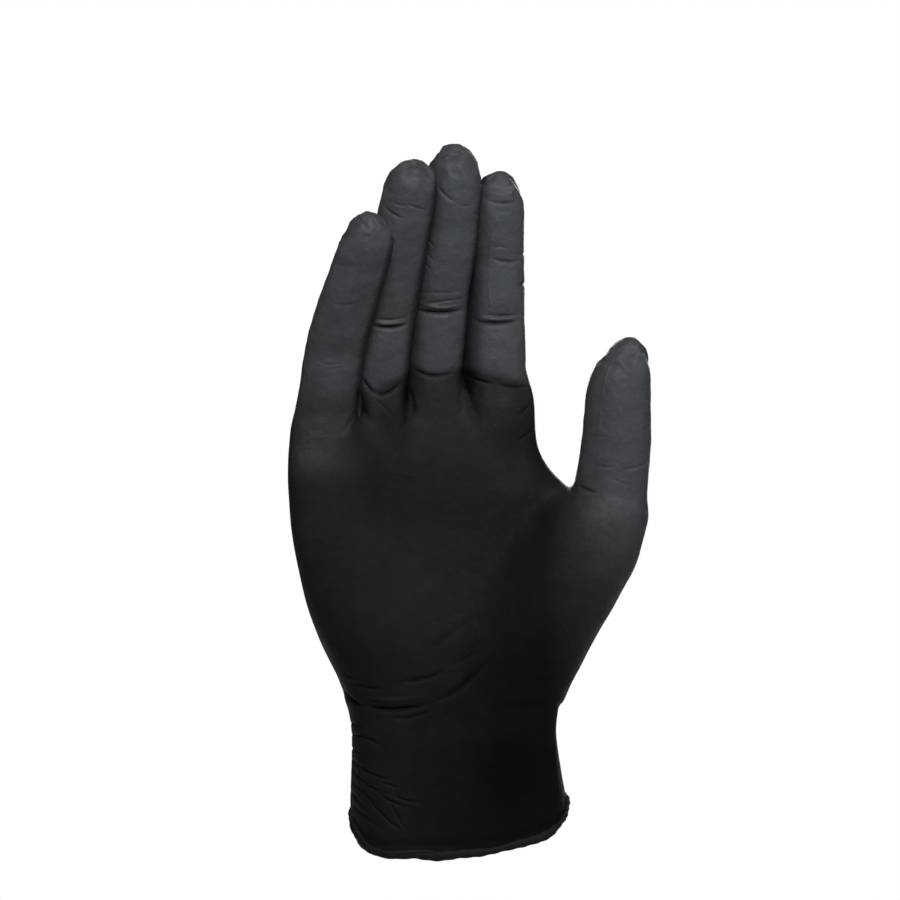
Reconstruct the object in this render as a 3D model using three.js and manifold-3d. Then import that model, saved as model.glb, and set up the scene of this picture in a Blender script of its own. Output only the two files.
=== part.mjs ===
// A disposable nitrile exam glove in the form that a right hand gives it, seen palm first from the front.
// Millimetres, +Z up towards the fingertips, -Y towards the viewer. The origin is the centre of the cuff's
// opening. The glove is one dip-moulded film, so it is one solid: an outer form lofted for the palm, the
// thumb and each finger, hollowed by the same forms drawn in by the wall, with its edge rolled into a bead.
import * as THREE from "three";
import Module from "manifold-3d";

const wasm = await Module();
wasm.setup();

// The glove as it is worn.
const REACH = 223; // centre of the opening to the middle fingertip
const WEB_HEIGHT = 146; // centre of the opening to the web between the middle and index fingers
const PALM_WIDTH = 80; // across the knuckles, and the unit of every distance across
const PALM_DEPTH = 50; // palm side to back at the opening, and the unit of every distance back
const WALL = 1.7;

// The rolled edge and the slope at which it crosses the forearm.
const BEAD_DIAMETER = 3.4;
const BEAD_WAVE = 0.5; // how far the bead wanders along the film
const CUFF_DROP = 14; // how far the edge falls at the palm side
const CUFF_RISE = 8; // how far it rises at the back
const CUFF_SLANT = 4; // thumb end of the edge above its little-finger end
const CUFF_LENGTH = 42; // height over which the slope fades out

// The webs step down from the middle finger to the little finger.
const WEB_DROP = 13;

// The ball of the thumb runs into the palm in a soft hollow.
const THUMB_BLEND = 7;
const MOUND_BLEND = 8;
const THUMB_PARTING = 92; // height above which the thumb has rows of its own
const THUMB_OVERLAP = 12; // how far those rows reach down inside the ball

// Folds where the film bunches at the joints and round the wrist.
const FOLD_DEPTH = 0.6;
const FOLD_WIDTH = 2.2;
const WRIST_FOLD_DEPTH = 1.3;
const WRIST_FOLD_WIDTH = 3.2;
const WRIST_TOP = 54; // the rows lie closer together up to this height

// Facets round each form, and the heights between two rows of facets. A finger's hollow has larger ones.
const PALM_SIDES = 48;
const FINGER_SIDES = 16;
const THUMB_SIDES = 20;
const PALM_STEP = 6.6;
const WRIST_STEP = 4.5;
const FINGER_STEP = 12;
const HOLLOW_FINGER_SIDES = 10;
const HOLLOW_FINGER_STEP = 15;
const SEAM_CLOSING = 0.02; // seams between two forms lose any facets thinner than this

// The palm from the opening to the webs. at: share of WEB_HEIGHT. left, right: shares of PALM_WIDTH. deep: half
// depth. back: centre. bow: how far both edges come forward of the palm's hollow. The last three are shares of
// PALM_DEPTH.
const PALM = [
  { at: 0.0, left: -0.45, right: 0.458, deep: 0.5, back: 0.0, bow: 0.0 },
  { at: 0.085, left: -0.448, right: 0.432, deep: 0.49, back: -0.06, bow: 0.01 },
  { at: 0.175, left: -0.443, right: 0.411, deep: 0.47, back: -0.11, bow: 0.03 },
  { at: 0.225, left: -0.454, right: 0.416, deep: 0.45, back: -0.13, bow: 0.05 },
  { at: 0.266, left: -0.475, right: 0.43, deep: 0.44, back: -0.145, bow: 0.08 },
  { at: 0.315, left: -0.496, right: 0.44, deep: 0.43, back: -0.15, bow: 0.12 },
  { at: 0.408, left: -0.563, right: 0.45, deep: 0.4, back: -0.16, bow: 0.19 },
  { at: 0.503, left: -0.622, right: 0.46, deep: 0.36, back: -0.165, bow: 0.26 },
  { at: 0.594, left: -0.66, right: 0.48, deep: 0.32, back: -0.17, bow: 0.32 },
  { at: 0.685, left: -0.683, right: 0.51, deep: 0.29, back: -0.175, bow: 0.36 },
  { at: 0.73, left: -0.69, right: 0.49, deep: 0.275, back: -0.18, bow: 0.38 },
  { at: 0.755, left: -0.694, right: 0.44, deep: 0.267, back: -0.18, bow: 0.39 },
  { at: 0.783, left: -0.696, right: 0.385, deep: 0.26, back: -0.18, bow: 0.4 },
  { at: 0.825, left: -0.694, right: 0.34, deep: 0.242, back: -0.18, bow: 0.41 },
  { at: 0.874, left: -0.688, right: 0.318, deep: 0.2, back: -0.18, bow: 0.41 },
  { at: 0.93, left: -0.665, right: 0.29, deep: 0.135, back: -0.18, bow: 0.41 },
  { at: 0.97, left: -0.64, right: 0.26, deep: 0.11, back: -0.18, bow: 0.41 },
  { at: 1.0, left: -0.6, right: 0.22, deep: 0.09, back: -0.18, bow: 0.41 },
];
const HOLLOW_CENTRE = 0.125; // the deepest part of the palm, as a share of PALM_WIDTH
const PALM_SQUARENESS = 2.4; // 2 is an ellipse
const SPINE_END = 0.15; // how far the ends of the palm's middle line lie inside its edges, in palm widths

// The mound along the little-finger side of the palm: its centre and its half sizes. at: share of WEB_HEIGHT.
// across, wide: shares of PALM_WIDTH. back, deep: shares of PALM_DEPTH.
const MOUND = [
  { at: 0.25, across: -0.28, back: -0.25, wide: 0.1, deep: 0.2 },
  { at: 0.4, across: -0.37, back: -0.36, wide: 0.17, deep: 0.28 },
  { at: 0.55, across: -0.447, back: -0.42, wide: 0.172, deep: 0.3 },
  { at: 0.7, across: -0.503, back: -0.48, wide: 0.163, deep: 0.28 },
  { at: 0.85, across: -0.528, back: -0.53, wide: 0.146, deep: 0.24 },
  { at: 1.0, across: -0.53, back: -0.56, wide: 0.08, deep: 0.12 },
];

// The wrist's folds, each a curve that is lowest at one place and fades out past both its ends. at: share of
// WEB_HEIGHT. lowest, from, to: shares of PALM_WIDTH across. bend: rise in palm widths one palm width away.
const WRIST_FOLDS = [
  { at: 0.242, lowest: -0.24, bend: 1.5, from: -0.48, to: 0.14 },
  { at: 0.283, lowest: -0.32, bend: 1.0, from: -0.42, to: 0.1 },
  { at: 0.03, lowest: -0.12, bend: 1.5, from: -0.44, to: -0.12 },
];

// Each finger from inside the palm to its tip. width, depth and tip, the length over which it rounds off, are
// shares of PALM_WIDTH. at: share of REACH. across: share of PALM_WIDTH. size: share of width and depth. Each
// finger leans forward of the one before by lean, a share of PALM_WIDTH; the first one by back, a share of
// PALM_DEPTH. folds: shares of REACH.
const INDEX = {
  width: 0.2525, depth: 0.22, tip: 0.2,
  rows: [
    { at: 0.527, across: 0.163, size: 0.72, back: -0.18 },
    { at: 0.589, across: 0.163, size: 1.02, back: -0.176 },
    { at: 0.647, across: 0.156, size: 1.06, back: -0.18 },
    { at: 0.692, across: 0.158, size: 1.03, back: -0.19 },
    { at: 0.741, across: 0.16, size: 0.985, back: -0.206 },
    { at: 0.79, across: 0.164, size: 0.95, back: -0.225 },
    { at: 0.835, across: 0.166, size: 0.94, back: -0.25 },
    { at: 0.879, across: 0.168, size: 0.92, back: -0.275 },
    { at: 0.961, across: 0.176, size: 0.88, back: -0.32 },
  ],
  folds: [0.638, 0.738, 0.828],
};
const MIDDLE = {
  width: 0.245, depth: 0.2175, tip: 0.181,
  rows: [
    { at: 0.536, across: -0.112, size: 0.72, lean: 0.02 },
    { at: 0.603, across: -0.111, size: 0.98, lean: 0.025 },
    { at: 0.656, across: -0.109, size: 1.0, lean: 0.035 },
    { at: 0.741, across: -0.084, size: 0.99, lean: 0.065 },
    { at: 0.781, across: -0.071, size: 0.98, lean: 0.085 },
    { at: 0.835, across: -0.046, size: 0.97, lean: 0.108 },
    { at: 0.897, across: -0.026, size: 0.96, lean: 0.12 },
    { at: 0.946, across: -0.018, size: 0.94, lean: 0.12 },
    { at: 1.0, across: -0.018, size: 0.92, lean: 0.12 },
  ],
  folds: [0.656, 0.752, 0.83],
};
const RING = {
  width: 0.24, depth: 0.215, tip: 0.1625,
  rows: [
    { at: 0.518, across: -0.344, size: 0.72, lean: 0.09 },
    { at: 0.58, across: -0.342, size: 0.98, lean: 0.095 },
    { at: 0.656, across: -0.332, size: 1.0, lean: 0.105 },
    { at: 0.723, across: -0.314, size: 1.0, lean: 0.11 },
    { at: 0.763, across: -0.296, size: 1.0, lean: 0.115 },
    { at: 0.821, across: -0.262, size: 0.99, lean: 0.125 },
    { at: 0.897, across: -0.222, size: 0.985, lean: 0.145 },
    { at: 0.929, across: -0.206, size: 0.96, lean: 0.15 },
    { at: 0.977, across: -0.19, size: 0.95, lean: 0.15 },
  ],
  folds: [0.636, 0.728, 0.895],
};
const LITTLE = {
  width: 0.2575, depth: 0.23, tip: 0.194,
  rows: [
    { at: 0.5, across: -0.562, size: 0.72, lean: 0.13 },
    { at: 0.558, across: -0.56, size: 0.97, lean: 0.135 },
    { at: 0.625, across: -0.545, size: 1.0, lean: 0.15 },
    { at: 0.692, across: -0.52, size: 1.0, lean: 0.165 },
    { at: 0.759, across: -0.468, size: 0.99, lean: 0.19 },
    { at: 0.821, across: -0.412, size: 0.95, lean: 0.2 },
    { at: 0.862, across: -0.384, size: 0.9, lean: 0.2 },
    { at: 0.898, across: -0.374, size: 0.87, lean: 0.2 },
  ],
  folds: [0.595, 0.68, 0.776],
};
const FINGERS = [INDEX, MIDDLE, RING, LITTLE];
const FINGER_SQUARENESS = 2.15;

// The thumb with the ball of the thumb below it, in the same columns. wide and deep are shares of its width and
// depth.
const THUMB = {
  width: 0.2925, depth: 0.2625, tip: 0.25,
  rows: [
    { at: 0.16, across: 0.25, back: -0.2, wide: 0.6, deep: 0.8 },
    { at: 0.232, across: 0.29, back: -0.28, wide: 1.35, deep: 1.36 },
    { at: 0.29, across: 0.375, back: -0.34, wide: 1.52, deep: 1.56 },
    { at: 0.348, across: 0.461, back: -0.39, wide: 1.6, deep: 1.56 },
    { at: 0.379, across: 0.507, back: -0.41, wide: 1.57, deep: 1.48 },
    { at: 0.411, across: 0.553, back: -0.43, wide: 1.43, deep: 1.36 },
    { at: 0.438, across: 0.589, back: -0.44, wide: 1.28, deep: 1.24 },
    { at: 0.469, across: 0.621, back: -0.446, wide: 1.12, deep: 1.12 },
    { at: 0.5, across: 0.64, back: -0.456, wide: 1.04, deep: 1.05 },
    { at: 0.558, across: 0.659, back: -0.48, wide: 1.0, deep: 0.98 },
    { at: 0.589, across: 0.664, back: -0.49, wide: 0.965, deep: 0.95 },
    { at: 0.647, across: 0.674, back: -0.51, wide: 0.905, deep: 0.9 },
    { at: 0.711, across: 0.722, back: -0.53, wide: 0.86, deep: 0.86 },
  ],
  folds: [0.5, 0.55],
};

// A value of a table's column at a height, on a smooth curve through the rows.
function column(rows, name, at) {
  const last = rows.length - 1;
  let i = 0;
  while (i < last - 1 && at > rows[i + 1].at) i += 1;
  const slope = (j) => {
    const before = rows[Math.max(j - 1, 0)];
    const after = rows[Math.min(j + 1, last)];
    return (after[name] - before[name]) / (after.at - before.at);
  };
  const a = rows[i];
  const b = rows[i + 1];
  const span = b.at - a.at;
  const t = THREE.MathUtils.clamp((at - a.at) / span, 0, 1);
  const square = t * t;
  const cube = square * t;
  return (
    (2 * cube - 3 * square + 1) * a[name] +
    (cube - 2 * square + t) * span * slope(i) +
    (3 * square - 2 * cube) * b[name] +
    (cube - square) * span * slope(i + 1)
  );
}

// Rings that all have the same number of points, joined into a skin. Each ring runs anticlockwise from above
// and the rings go upwards. An open skin's last ring joins its first, and a closed one has a fan at each end.
function skin(rings, endless = false) {
  const sides = rings[0].length;
  const points = rings.flat();
  const faces = [];
  const count = endless ? rings.length : rings.length - 1;
  for (let r = 0; r < count; r += 1) {
    const above = ((r + 1) % rings.length) * sides;
    for (let s = 0; s < sides; s += 1) {
      const next = (s + 1) % sides;
      const a = r * sides + s;
      const b = r * sides + next;
      faces.push(a, b, above + next, a, above + next, above + s);
    }
  }
  if (!endless) {
    const foot = points.length;
    const top = (rings.length - 1) * sides;
    for (const ring of [rings[0], rings[rings.length - 1]]) {
      const sum = ring.reduce((total, p) => total.add(p), new THREE.Vector3());
      points.push(sum.divideScalar(sides));
    }
    for (let s = 0; s < sides; s += 1) {
      const next = (s + 1) % sides;
      faces.push(foot, next, s, foot + 1, top + s, top + next);
    }
  }
  return new wasm.Manifold(
    new wasm.Mesh({
      numProp: 3,
      vertProperties: new Float32Array(points.flatMap((p) => p.toArray())),
      triVerts: new Uint32Array(faces),
    }),
  );
}

// A unit superellipse's point at an angle, and how far out a point lies on one, 1 being its rim.
function rim(angle, squareness) {
  const bend = (v) => Math.sign(v) * Math.abs(v) ** (2 / squareness);
  return { across: bend(Math.cos(angle)), back: bend(Math.sin(angle)) };
}
function reach(across, back, squareness) {
  return (Math.abs(across) ** squareness + Math.abs(back) ** squareness) ** (1 / squareness);
}

// A finger's section at a height: centre and half sizes, drawn out by grow and rounded off at the tip.
function section(finger, height, grow) {
  const { rows } = finger;
  const at = height / REACH;
  const thumb = finger === THUMB;
  const top = rows[rows.length - 1].at * REACH + grow;
  const over = THREE.MathUtils.clamp((height - top) / (finger.tip * PALM_WIDTH) + 1, 0, 1);
  const round = Math.sqrt(1 - over ** 2.2);
  const wide = (finger.width / 2) * PALM_WIDTH * column(rows, thumb ? "wide" : "size", at);
  const deep = (finger.depth / 2) * PALM_WIDTH * column(rows, thumb ? "deep" : "size", at);
  return {
    x: column(rows, "across", at) * PALM_WIDTH,
    y: backOf(finger, height),
    wide: (wide + grow) * round,
    deep: (deep + grow) * round,
  };
}

// How far back a finger's centre lies.
function backOf(finger, height) {
  const at = height / REACH;
  if ("back" in finger.rows[0]) return column(finger.rows, "back", at) * PALM_DEPTH;
  const before = FINGERS[FINGERS.indexOf(finger) - 1];
  return backOf(before, height) - column(finger.rows, "lean", at) * PALM_WIDTH;
}

// How deep a groove of a given width is at a distance from its line, as a share of its full depth.
const groove = (distance, width) => Math.exp(-((distance / width) ** 2) * 2.5);

// How deep the wrist's folds press in at a place.
function wristPress(x, z) {
  const across = x / PALM_WIDTH;
  let press = 0;
  for (const fold of WRIST_FOLDS) {
    const line = fold.at * WEB_HEIGHT + fold.bend * (across - fold.lowest) ** 2 * PALM_WIDTH;
    const beyond = Math.max(fold.from - across, across - fold.to, 0);
    press = Math.max(press, groove(z - line, WRIST_FOLD_WIDTH) * groove(beyond, 0.1));
  }
  return press * WRIST_FOLD_DEPTH;
}

// One ring of a finger. Its folds press in on the palm side.
function fingerRing(finger, height, sides, grow) {
  const at = section(finger, height, grow);
  let press = 0;
  for (const fold of finger.folds) press = Math.max(press, FOLD_DEPTH * groove(height - fold * REACH, FOLD_WIDTH));
  if (grow < 0) press = 0;
  return Array.from({ length: sides }, (_, s) => {
    const p = rim((2 * Math.PI * (s + 0.5)) / sides, FINGER_SQUARENESS);
    const inward = press * Math.max(0, -p.back) ** 0.5;
    return new THREE.Vector3(at.x + (at.wide - inward) * p.across, at.y + (at.deep - inward) * p.back, height);
  });
}

// Heights from foot to top at about one step apart.
function levels(foot, top, step) {
  const count = Math.max(1, Math.ceil((top - foot) / step));
  return Array.from({ length: count + 1 }, (_, i) => foot + ((top - foot) * i) / count);
}

// The same with three more heights at each fold, in place of the ones that they crowd.
function foldedLevels(foot, top, step, folds) {
  const own = folds.flatMap((fold) => [fold - FOLD_WIDTH, fold, fold + FOLD_WIDTH]);
  const inside = own.filter((h) => h > foot + FOLD_WIDTH && h < top - FOLD_WIDTH);
  const free = (h) => inside.every((f) => Math.abs(f - h) > FOLD_WIDTH);
  const plain = levels(foot, top, step).filter((h) => h === foot || h === top || free(h));
  return [...plain, ...inside].sort((a, b) => a - b);
}

function fingerForm(finger, sides, step, grow) {
  const { rows } = finger;
  const thumb = finger === THUMB;
  const foot = thumb ? THUMB_PARTING - THUMB_OVERLAP : rows[0].at * REACH;
  const top = rows[rows.length - 1].at * REACH + grow;
  const tip = finger.tip * PALM_WIDTH;
  const folds = grow < 0 ? [] : finger.folds.map((fold) => fold * REACH);
  const heights = foldedLevels(foot, top - tip, step, folds);
  if (thumb) heights.splice(heights.findIndex((h) => h > THUMB_PARTING), 0, THUMB_PARTING);
  const turns = grow < 0 ? [0.55, 0.85, 0.975] : [0.35, 0.62, 0.82, 0.93, 0.985];
  for (const turn of turns) heights.push(top - tip + tip * turn);
  const sunk = (h) => (thumb ? Math.min(0, (h - THUMB_PARTING) / 3) : 0);
  return skin(heights.map((h) => fingerRing(finger, h, sides, sunk(h) + grow)));
}

// Roughly how many millimetres a point lies outside the palm, the mound and the ball of the thumb, and outside
// two of them once they run into each other over a length.
function outsidePalm(x, unbentY, at, grow) {
  const left = column(PALM, "left", at) * PALM_WIDTH;
  const right = column(PALM, "right", at) * PALM_WIDTH;
  const wide = (right - left) / 2 + grow;
  const deep = column(PALM, "deep", at) * PALM_DEPTH + grow;
  return (reach((x - (left + right) / 2) / wide, unbentY / deep, PALM_SQUARENESS) - 1) * deep;
}
function outsideMound(x, y, level, grow) {
  const across = x - column(MOUND, "across", level) * PALM_WIDTH;
  const back = y - column(MOUND, "back", level) * PALM_DEPTH;
  const wide = column(MOUND, "wide", level) * PALM_WIDTH + grow;
  const deep = column(MOUND, "deep", level) * PALM_DEPTH + grow;
  return (reach(across / wide, back / deep, FINGER_SQUARENESS) - 1) * deep;
}
function outsideThumb(x, y, height, grow) {
  const at = section(THUMB, height, grow);
  return (reach((x - at.x) / at.wide, (y - at.y) / at.deep, FINGER_SQUARENESS) - 1) * at.deep;
}

function blended(one, other, over) {
  const mix = Math.max(0, over - Math.abs(one - other));
  return Math.min(one, other) - mix ** 2 / (4 * over);
}

// The palm's middle surface.
function palmBack(x, at) {
  const bow = column(PALM, "bow", at) * PALM_DEPTH;
  return column(PALM, "back", at) * PALM_DEPTH - bow * ((x / PALM_WIDTH - HOLLOW_CENTRE) / 0.7) ** 2;
}

// One ring of the palm and cuff, with the ball of the thumb blended in where the thumb is still part of it.
function palmRing(height, sides, grow) {
  const level = height / WEB_HEIGHT;
  const left = column(PALM, "left", level) * PALM_WIDTH;
  const right = column(PALM, "right", level) * PALM_WIDTH;
  const cuff = Math.max(0, 1 - height / CUFF_LENGTH) ** 2;
  const web = Math.max(0, (level - 0.7) / 0.3);
  const withThumb = height <= THUMB_PARTING && height > THUMB.rows[0].at * REACH;
  const ball = section(THUMB, Math.min(height, THUMB_PARTING), grow);
  const above = THREE.MathUtils.smoothstep(height, THUMB_PARTING, WEB_HEIGHT);
  const far = Math.max(right, THREE.MathUtils.lerp(ball.x + ball.wide, right, above));
  const corners = Array.from({ length: sides }, (_, s) => rim((2 * Math.PI * (s + 0.5)) / sides, PALM_SQUARENESS));
  return corners.map((p) => {
    const slope =
      ((CUFF_DROP + CUFF_RISE) / 2) * p.back -
      ((CUFF_DROP - CUFF_RISE) / 2) * p.back ** 2 +
      (CUFF_SLANT / 2) * p.across;
    // The ring's point lies on a ray that leaves the middle of the palm squarely.
    const target = (left + far) / 2 + ((far - left) / 2) * p.across;
    const spine = THREE.MathUtils.clamp(target, left + SPINE_END * PALM_WIDTH, right - SPINE_END * PALM_WIDTH);
    const place = (r) => {
      const x = spine + r * (target - spine);
      const unbent = r * p.back * 0.4 * PALM_DEPTH;
      const drop = WEB_DROP * (1 - THREE.MathUtils.smoothstep(x / PALM_WIDTH, -0.56, 0.1)) * web;
      return { x, unbent, z: height + slope * cuff - drop };
    };
    const outside = (r) => {
      const { x, unbent } = place(r);
      const y = unbent + palmBack(x, level);
      const palm = outsidePalm(x, unbent, level, grow);
      const heel = blended(palm, outsideMound(x, y, level, grow), MOUND_BLEND);
      return withThumb ? blended(heel, outsideThumb(x, y, height, grow), THUMB_BLEND) : heel;
    };
    let low = 0;
    let high = 3;
    for (let i = 0; i < 26; i += 1) {
      const mid = (low + high) / 2;
      if (outside(mid) < 0) low = mid;
      else high = mid;
    }
    const at = place(low);
    const press = wristPress(at.x, at.z) * Math.max(0, -p.back) ** 0.5;
    return new THREE.Vector3(at.x, at.unbent + palmBack(at.x, level) + press, at.z);
  });
}

function palmForm(grow, foot) {
  const wrist = levels(foot, WRIST_TOP, WRIST_STEP);
  const ball = levels(WRIST_TOP, THUMB_PARTING, PALM_STEP);
  const top = levels(THUMB_PARTING + 2.5, WEB_HEIGHT + grow, PALM_STEP);
  const heights = [...wrist.slice(0, -1), ...ball, ...top];
  return skin(heights.map((h) => palmRing(h, PALM_SIDES, grow)));
}

// The bead: a round roll that follows the film's edge.
function beadForm() {
  const path = palmRing(0, PALM_SIDES, -WALL / 2);
  const rings = path.map((p, s) => {
    const ahead = path[(s + 1) % path.length];
    const behind = path[(s + path.length - 1) % path.length];
    const along = ahead.clone().sub(behind).normalize();
    const out = new THREE.Vector3(along.y, -along.x, 0).normalize();
    const up = new THREE.Vector3().crossVectors(out, along).normalize();
    const wave = Math.sin((2 * Math.PI * 5 * s) / path.length) * BEAD_WAVE;
    return Array.from({ length: 8 }, (_, i) => {
      const turn = (-2 * Math.PI * i) / 8;
      return p
        .clone()
        .addScaledVector(out, (Math.cos(turn) * BEAD_DIAMETER) / 2)
        .addScaledVector(up, (Math.sin(turn) * BEAD_DIAMETER) / 2 + wave);
    });
  });
  return skin(rings, true);
}

let outer = palmForm(0, 0);
let inner = palmForm(-WALL, -WRIST_STEP * 3);
for (const finger of [...FINGERS, THUMB]) {
  outer = outer.add(fingerForm(finger, finger === THUMB ? THUMB_SIDES : FINGER_SIDES, FINGER_STEP, 0));
  inner = inner.add(fingerForm(finger, HOLLOW_FINGER_SIDES, HOLLOW_FINGER_STEP, -WALL));
}
const solid = outer.subtract(inner).add(beadForm()).simplify(SEAM_CLOSING);

const mesh = solid.getMesh();
const geometry = new THREE.BufferGeometry();
geometry.setAttribute("position", new THREE.BufferAttribute(mesh.vertProperties, 3));
geometry.setIndex(new THREE.BufferAttribute(mesh.triVerts, 1));
const glove = new THREE.Mesh(
  geometry,
  new THREE.MeshStandardMaterial({ color: 0x1b1d1f, roughness: 0.55, metalness: 0 }),
);
glove.name = "glove";
const group = new THREE.Group();
group.add(glove);
export default group;
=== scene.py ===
"""The looks of a worn disposable nitrile exam glove: one film over a right hand's form, with its folds and
rolled edge, in a pale studio. The glove's lengths are in millimetres and the studio's in metres."""

import math

import bpy
import numpy as np
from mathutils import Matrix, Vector


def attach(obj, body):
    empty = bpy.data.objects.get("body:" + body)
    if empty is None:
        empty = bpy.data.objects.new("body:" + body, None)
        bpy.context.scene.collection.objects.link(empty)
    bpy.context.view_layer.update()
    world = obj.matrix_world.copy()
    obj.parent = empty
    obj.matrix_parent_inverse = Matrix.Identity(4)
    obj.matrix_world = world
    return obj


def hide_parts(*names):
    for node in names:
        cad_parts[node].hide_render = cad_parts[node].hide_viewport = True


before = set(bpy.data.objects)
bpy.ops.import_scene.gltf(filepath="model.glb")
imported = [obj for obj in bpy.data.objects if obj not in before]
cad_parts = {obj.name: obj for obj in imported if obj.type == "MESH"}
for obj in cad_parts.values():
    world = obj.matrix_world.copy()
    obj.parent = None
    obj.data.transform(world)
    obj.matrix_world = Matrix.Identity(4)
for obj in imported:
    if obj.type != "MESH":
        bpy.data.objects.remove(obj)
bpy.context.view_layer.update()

# The glove as it is worn. What the CAD part has too is the same there, but for a slimmer bead, a wider
# THUMB_BLEND and shallower last rows of PALM here.
REACH = 223.0
WEB_HEIGHT = 146.0
PALM_WIDTH = 80.0
PALM_DEPTH = 50.0
WALL = 1.7
BEAD_RADIUS = 1.58
CUFF_DROP = 14.0
CUFF_RISE = 8.0
CUFF_SLANT = 4.0
CUFF_LENGTH = 42.0
WEB_DROP = 13.0
THUMB_BLEND = 14.0
MOUND_BLEND = 8.0
FINGER_BLEND = 4.5
THUMB_PARTING = 92.0
TIP_BLEND = 2.5  # all that is left of THUMB_BLEND above the thumb's parting
THUMB_FOOT_ROUNDING = 16.0
HEEL_OVERRUN = 2.5  # how far the palm rises past the web inside the fingers
HEEL_ROUNDING = 12.0
HOLLOW_CENTRE = 0.125  # across the palm, in palm widths, with the reach of its bow
BOW_REACH = 0.7
PALM_SQUARENESS = 2.4
FINGER_SQUARENESS = 2.15
TIP_SQUARENESS = 2.2
OPENING_MIDDLE = 0.3
OPENING_HALF = 36.3  # half its width
OPENING_SHARE = 0.454  # about the same in palm widths
CUFF_LEAN = 0.22  # how fast the cuff comes forward and gets shallower with height, up to CUFF_LEAN_TOP
CUFF_TAPER = 0.06
CUFF_LEAN_TOP = 26.0
WEB_DROP_START = 0.7  # as a share of WEB_HEIGHT
WEB_DROP_SPAN = (-0.56, 0.1)  # in palm widths, from the whole drop to none
CELL = 1.4  # size of a mesh face, which is quartered once or twice at folds and once at the tips
HOLLOW_CELL = 3.0
FOLD_SPREADS = (1.5, 1.0)  # how far round a fold each quartering reaches
HEEL_TOP = WEB_HEIGHT + 6.0  # the palm is worked out up to this height
THUMB_TOP = 170.0  # the thumb up to this one
FINGERS_FROM = 108.0  # and the fingers from this one
FAR = 60.0  # stands for any distance well outside
LAST_FINGER, THUMB_KIND, PALM_KIND = 3, 4, 5  # as kinds() gives them


def rows_of(names, *rows):
    """A table's rows as dicts, from the names of its columns and the values in each row."""
    return [dict(zip(names.split(), row)) for row in rows]


# Sections of the palm: at is a share of WEB_HEIGHT, left and right are shares of PALM_WIDTH and the others
# of PALM_DEPTH.
PALM = rows_of(
    "at left right deep back bow",
    (0.0, -0.45, 0.458, 0.5, 0.0, 0.0),
    (0.085, -0.448, 0.432, 0.49, -0.06, 0.01),
    (0.175, -0.443, 0.411, 0.47, -0.11, 0.03),
    (0.225, -0.454, 0.416, 0.45, -0.13, 0.05),
    (0.266, -0.475, 0.43, 0.44, -0.145, 0.08),
    (0.315, -0.496, 0.44, 0.43, -0.15, 0.12),
    (0.408, -0.563, 0.45, 0.4, -0.16, 0.19),
    (0.503, -0.622, 0.46, 0.36, -0.165, 0.26),
    (0.594, -0.66, 0.48, 0.32, -0.17, 0.32),
    (0.685, -0.683, 0.51, 0.29, -0.175, 0.36),
    (0.73, -0.69, 0.49, 0.275, -0.18, 0.38),
    (0.755, -0.694, 0.44, 0.267, -0.18, 0.39),
    (0.783, -0.696, 0.385, 0.26, -0.18, 0.4),
    (0.825, -0.694, 0.34, 0.242, -0.18, 0.41),
    (0.874, -0.688, 0.318, 0.2, -0.18, 0.41),
    (0.93, -0.665, 0.29, 0.135, -0.18, 0.41),
    (0.97, -0.64, 0.26, 0.1, -0.18, 0.41),
    (1.0, -0.6, 0.22, 0.07, -0.18, 0.41),
)
# The mound along the little finger's side, with across and wide as shares of PALM_WIDTH.
MOUND = rows_of(
    "at across back wide deep",
    (0.25, -0.28, -0.25, 0.1, 0.2),
    (0.4, -0.37, -0.36, 0.17, 0.28),
    (0.55, -0.447, -0.42, 0.172, 0.3),
    (0.7, -0.503, -0.48, 0.163, 0.28),
    (0.85, -0.528, -0.53, 0.146, 0.24),
    (1.0, -0.53, -0.56, 0.08, 0.12),
)
# Sections of the fingers. width, depth, tip, across and lean are shares of PALM_WIDTH, at of REACH, back of
# PALM_DEPTH, and size, wide and deep of the finger's own width and depth. lean is how far a finger stands in
# front of the one before it.
INDEX = dict(width=0.2525, depth=0.22, tip=0.2, rows=rows_of(
    "at across size back",
    (0.527, 0.163, 0.72, -0.18),
    (0.589, 0.163, 1.02, -0.176),
    (0.647, 0.156, 1.06, -0.18),
    (0.692, 0.158, 1.03, -0.19),
    (0.741, 0.16, 0.985, -0.206),
    (0.79, 0.164, 0.95, -0.225),
    (0.835, 0.166, 0.94, -0.25),
    (0.879, 0.168, 0.92, -0.275),
    (0.961, 0.176, 0.88, -0.32),
))
MIDDLE = dict(width=0.245, depth=0.2175, tip=0.181, rows=rows_of(
    "at across size lean",
    (0.536, -0.112, 0.72, 0.02),
    (0.603, -0.111, 0.98, 0.025),
    (0.656, -0.109, 1.0, 0.035),
    (0.741, -0.084, 0.99, 0.065),
    (0.781, -0.071, 0.98, 0.085),
    (0.835, -0.046, 0.97, 0.108),
    (0.897, -0.026, 0.96, 0.12),
    (0.946, -0.018, 0.94, 0.12),
    (1.0, -0.018, 0.92, 0.12),
))
RING = dict(width=0.24, depth=0.215, tip=0.1625, rows=rows_of(
    "at across size lean",
    (0.518, -0.344, 0.72, 0.09),
    (0.58, -0.342, 0.98, 0.095),
    (0.656, -0.332, 1.0, 0.105),
    (0.723, -0.314, 1.0, 0.11),
    (0.763, -0.296, 1.0, 0.115),
    (0.821, -0.262, 0.99, 0.125),
    (0.897, -0.222, 0.985, 0.145),
    (0.929, -0.206, 0.96, 0.15),
    (0.977, -0.19, 0.95, 0.15),
))
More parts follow.
